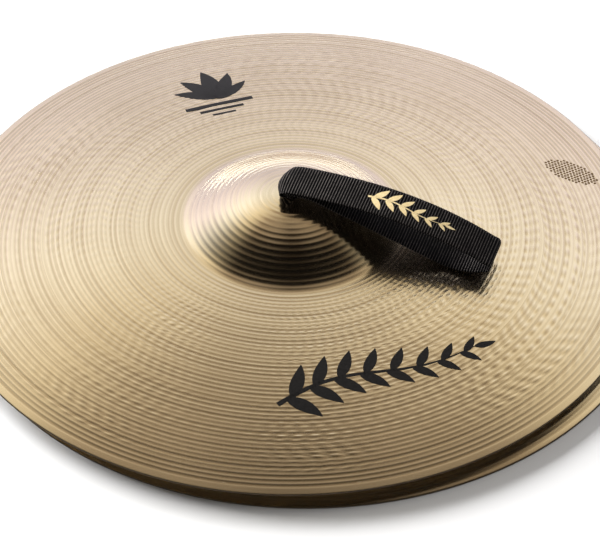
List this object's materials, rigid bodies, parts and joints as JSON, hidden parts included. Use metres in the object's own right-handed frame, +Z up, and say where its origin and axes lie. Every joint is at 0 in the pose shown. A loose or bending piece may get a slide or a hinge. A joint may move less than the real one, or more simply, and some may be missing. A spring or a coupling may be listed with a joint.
{
  "type": "hand cymbals",
  "caption": "Orchestral hand cymbals stacked bell up, each with a woven nylon hand strap held under the bell by a leather pad and a riveted steel washer.",
  "frame": {"origin": "centre of the bounding box's base, on the plane the lower rim rests on, midway between the two hole axes", "axes": "+Z up along the hole axes, +X towards the side the upper hand strap lies on, -Y towards the viewer"},
  "size_m": [0.4666, 0.4576, 0.0742],
  "materials": {
    "bronze": "satin",
    "webbing": "woven",
    "leather": "matte",
    "steel": "satin"
  },
  "bodies": {
    "lower_plate": {"lower_cymbal": "bronze"},
    "lower_strap": {"lower_strap_neck": "webbing", "lower_tail_inner": "webbing", "lower_tail_outer": "webbing", "lower_leather_pad": "leather", "lower_load_washer": "steel", "lower_tail_rivets": "steel"},
    "lower_loop": {"lower_hand_loop": "webbing"},
    "upper_plate": {"upper_cymbal": "bronze"},
    "upper_strap": {"upper_strap_neck": "webbing", "upper_tail_inner": "webbing", "upper_tail_outer": "webbing", "upper_leather_pad": "leather", "upper_load_washer": "steel", "upper_tail_rivets": "steel"},
    "upper_loop": {"upper_hand_loop": "webbing"}
  },
  "joints": [
    {"name": "upper_lift", "type": "slide", "parent": "lower_plate", "child": "upper_plate", "axis": [0, 0, 1], "range_m": [0, 0.21]},
    {"name": "upper_swivel", "type": "hinge", "parent": "upper_plate", "child": "upper_strap", "pos_m": [-0.0047, 0.0002, 0.0621], "axis": [0, 0, 1], "continuous": true},
    {"name": "upper_fold", "type": "hinge", "parent": "upper_strap", "child": "upper_loop", "pos_m": [-0.0047, 0.0002, 0.0669], "axis": [-0.3007, -0.9537, 0], "range_deg": [0, 145]},
    {"name": "lower_swivel", "type": "hinge", "parent": "lower_plate", "child": "lower_strap", "pos_m": [0.0047, -0.0002, 0.0516], "axis": [0, 0, 1], "range_deg": [-90, 90]},
    {"name": "lower_fold", "type": "hinge", "parent": "lower_strap", "child": "lower_loop", "pos_m": [0.0047, -0.0002, 0.0535], "axis": [0, 1, 0], "range_deg": [0, 90]}
  ],
  "couplings": [
    {"joint": "lower_fold", "follows": "upper_lift", "rad_per_m": 7.2}
  ]
}
